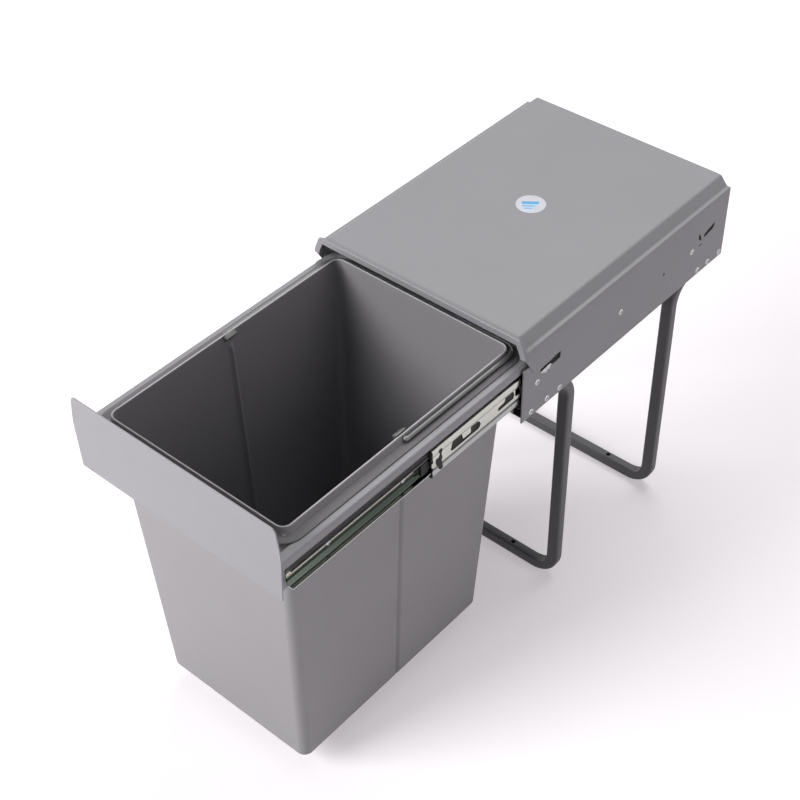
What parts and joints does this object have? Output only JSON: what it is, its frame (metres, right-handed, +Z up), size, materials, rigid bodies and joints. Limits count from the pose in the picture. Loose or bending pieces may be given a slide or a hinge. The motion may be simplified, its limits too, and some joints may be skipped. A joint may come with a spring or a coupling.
{
  "type": "pull out trash cabinet",
  "caption": "Pull-out trash cabinet: bucket with a bail in a plated carrier on ball slides, running under a lidded housing on bent tube legs.",
  "frame": {"origin": "on the floor, in the middle of the four floor screw holes", "axes": "+X to the right, +Y to the rear, away from the front plate, +Z up; the drawer opens toward -Y"},
  "size_m": [0.286, 0.7213, 0.434],
  "materials": {
    "housing_paint": "satin powder coat",
    "carrier_paint": "satin powder coat",
    "leg_paint": "satin powder coat",
    "rivet_steel": "zinc plated",
    "slide_zinc": "zinc plated",
    "cage_steel": "plain",
    "black_plastic": "moulded",
    "bucket_plastic": "moulded, fine grain",
    "bail_steel": "coated wire",
    "sticker_film": "film"
  },
  "bodies": {
    "housing": {"lid": "housing_paint", "lid_sticker": "sticker_film", "side_panel_left": "housing_paint", "side_panel_right": "housing_paint", "leg_frame_front": "leg_paint", "leg_frame_rear": "leg_paint", "frame_rivets": "rivet_steel", "slide_rivets": "rivet_steel", "outer_member_left": "slide_zinc", "outer_member_right": "slide_zinc"},
    "carriage": {"front_plate": "carrier_paint", "rail_left": "carrier_paint", "rail_right": "carrier_paint", "rear_cross_rail": "carrier_paint", "inner_member_left": "slide_zinc", "inner_member_right": "slide_zinc", "rail_screws": "rivet_steel"},
    "middle_left_body": {"middle_member_left": "slide_zinc", "middle_clip_left": "black_plastic"},
    "middle_right_body": {"middle_member_right": "slide_zinc", "middle_clip_right": "black_plastic"},
    "outer_cage_left_body": {"outer_cage_left": "cage_steel"},
    "outer_cage_right_body": {"outer_cage_right": "cage_steel"},
    "inner_cage_left_body": {"inner_cage_left": "cage_steel"},
    "inner_cage_right_body": {"inner_cage_right": "cage_steel"},
    "bucket_body": {"bucket": "bucket_plastic"},
    "bail": {"bail_handle": "bail_steel"},
    "lever_left_body": {"lever_left": "black_plastic"},
    "lever_right_body": {"lever_right": "black_plastic"}
  },
  "joints": [
    {"name": "drawer", "type": "slide", "parent": "housing", "child": "carriage", "axis": [0, -1, 0], "range_m": [-0.3398, 0]},
    {"name": "middle_run_left", "type": "slide", "parent": "housing", "child": "middle_left_body", "axis": [0, -1, 0], "range_m": [-0.1699, 0]},
    {"name": "outer_cage_run_left", "type": "slide", "parent": "housing", "child": "outer_cage_left_body", "axis": [0, -1, 0], "range_m": [-0.08495, 0]},
    {"name": "inner_cage_run_left", "type": "slide", "parent": "housing", "child": "inner_cage_left_body", "axis": [0, -1, 0], "range_m": [-0.25485, 0]},
    {"name": "middle_run_right", "type": "slide", "parent": "housing", "child": "middle_right_body", "axis": [0, -1, 0], "range_m": [-0.1699, 0]},
    {"name": "outer_cage_run_right", "type": "slide", "parent": "housing", "child": "outer_cage_right_body", "axis": [0, -1, 0], "range_m": [-0.08495, 0]},
    {"name": "inner_cage_run_right", "type": "slide", "parent": "housing", "child": "inner_cage_right_body", "axis": [0, -1, 0], "range_m": [-0.25485, 0]},
    {"name": "bucket_tilt", "type": "hinge", "parent": "carriage", "child": "bucket_body", "pos_m": [0, -0.1685, 0.3905], "axis": [-1, 0, 0], "range_deg": [0, 14]},
    {"name": "bail_swing", "type": "hinge", "parent": "bucket_body", "child": "bail", "pos_m": [0, -0.34625, 0.3953], "axis": [1, 0, 0], "range_deg": [0, 4]},
    {"name": "lever_press_left", "type": "hinge", "parent": "carriage", "child": "lever_left_body", "pos_m": [-0.13355, -0.3185, 0.357], "axis": [-1, 0, 0], "range_deg": [0, 6], "stiffness_Nm_per_rad": 0.02},
    {"name": "lever_press_right", "type": "hinge", "parent": "carriage", "child": "lever_right_body", "pos_m": [0.13355, -0.3185, 0.357], "axis": [-1, 0, 0], "range_deg": [0, 6], "stiffness_Nm_per_rad": 0.02}
  ],
  "couplings": [
    {"joint": "middle_run_left", "follows": "drawer", "ratio": 0.5},
    {"joint": "outer_cage_run_left", "follows": "drawer", "ratio": 0.25},
    {"joint": "inner_cage_run_left", "follows": "drawer", "ratio": 0.75},
    {"joint": "middle_run_right", "follows": "drawer", "ratio": 0.5},
    {"joint": "outer_cage_run_right", "follows": "drawer", "ratio": 0.25},
    {"joint": "inner_cage_run_right", "follows": "drawer", "ratio": 0.75}
  ]
}
